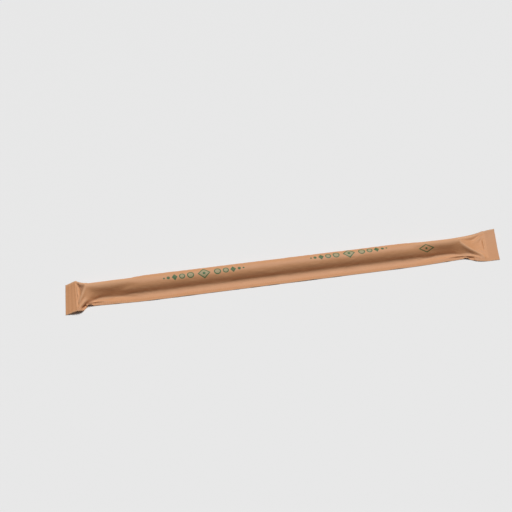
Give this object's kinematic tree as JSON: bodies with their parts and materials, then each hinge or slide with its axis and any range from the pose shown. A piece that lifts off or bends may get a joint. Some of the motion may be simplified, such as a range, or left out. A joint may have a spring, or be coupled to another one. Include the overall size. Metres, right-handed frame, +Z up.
{
  "type": "wrapped drinking straw",
  "caption": "Straight paper drinking straw sealed in a long folded kraft-paper sleeve, with a knurled seam along one edge and sealed flat ends.",
  "frame": {"origin": "under the middle of the sleeve's bounding box, on the surface that it lies on", "axes": "+X along the straw towards the end whose paper runs on further and is cut aslant, +Y towards the folded long edge, -Y towards the knurled seam, +Z up off the surface"},
  "size_m": [0.2325, 0.026, 0.0062],
  "materials": {
    "kraft_paper": "uncoated brown kraft paper with a slight machine gloss"
  },
  "bodies": {
    "root": {"wrapped_straw": "kraft_paper"}
  },
  "joints": []
}
